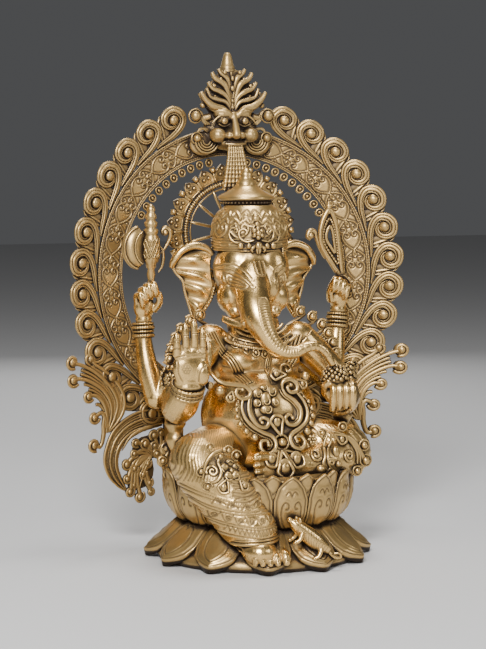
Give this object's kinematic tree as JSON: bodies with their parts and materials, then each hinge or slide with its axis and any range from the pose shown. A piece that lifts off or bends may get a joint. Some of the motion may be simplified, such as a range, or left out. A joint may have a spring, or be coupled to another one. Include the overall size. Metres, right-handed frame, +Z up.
{
  "type": "ganesha idol",
  "caption": "Seated elephant-headed deity in cast brass on a lotus base, with a scrolled arch behind it.",
  "frame": {"origin": "middle of the base, on the plane it stands on", "axes": "+Z up; the figure faces -Y; its own left side is at +X"},
  "size_m": [0.406, 0.2596, 0.56],
  "materials": {
    "brass_figure": "polished antique brass with dark recesses",
    "brass_ornament": "polished antique brass, engraved",
    "brass_base": "polished antique brass with dark recesses",
    "brass_arch": "antique brass, dark ground between raised ornament",
    "steel": "plain plated fasteners"
  },
  "bodies": {
    "root": {"arch_band_left": "brass_arch", "arch_band_right": "brass_arch", "arch_beads": "brass_arch", "arch_bolts": "steel", "arch_foot": "brass_arch", "arch_scrolls_left": "brass_arch", "arch_scrolls_right": "brass_arch", "arm_front_left": "brass_figure", "arm_front_right": "brass_figure", "arm_rear_left": "brass_figure", "arm_rear_right": "brass_figure", "armlets": "brass_ornament", "axe_blade": "brass_ornament", "axe_handle": "brass_ornament", "bangles": "brass_ornament", "base_plate": "brass_base", "base_screws": "steel", "centre_rod": "steel", "collar": "brass_ornament", "crown_band": "brass_ornament", "crown_crest": "brass_ornament", "crown_dome": "brass_ornament", "crown_parasol": "brass_ornament", "ear_left": "brass_figure", "ear_right": "brass_figure", "foot_left": "brass_figure", "foot_right": "brass_figure", "halo_petals": "brass_ornament", "halo_ring": "brass_ornament", "halo_spokes": "brass_ornament", "hand_front_left": "brass_figure", "hand_front_right": "brass_figure", "hand_rear_left": "brass_figure", "hand_rear_right": "brass_figure", "head": "brass_figure", "knee_flowers": "brass_ornament", "leg_left": "brass_figure", "leg_right": "brass_figure", "lotus_plinth": "brass_base", "mask": "brass_arch", "mask_finial": "brass_arch", "mask_tassel": "brass_arch", "modak": "brass_ornament", "mouse": "brass_figure", "noose": "brass_ornament", "pectoral_drops": "brass_ornament", "pectoral_frame": "brass_ornament", "rod_fixings": "steel", "sacred_thread": "brass_ornament", "seat_core": "brass_base", "seat_deck": "brass_base", "seat_petals_inner": "brass_base", "seat_petals_outer": "brass_base", "shoulder_scrolls": "brass_ornament", "torso": "brass_figure", "trunk": "brass_figure", "tusks": "brass_figure", "wing_left": "brass_arch", "wing_right": "brass_arch"}
  },
  "joints": []
}
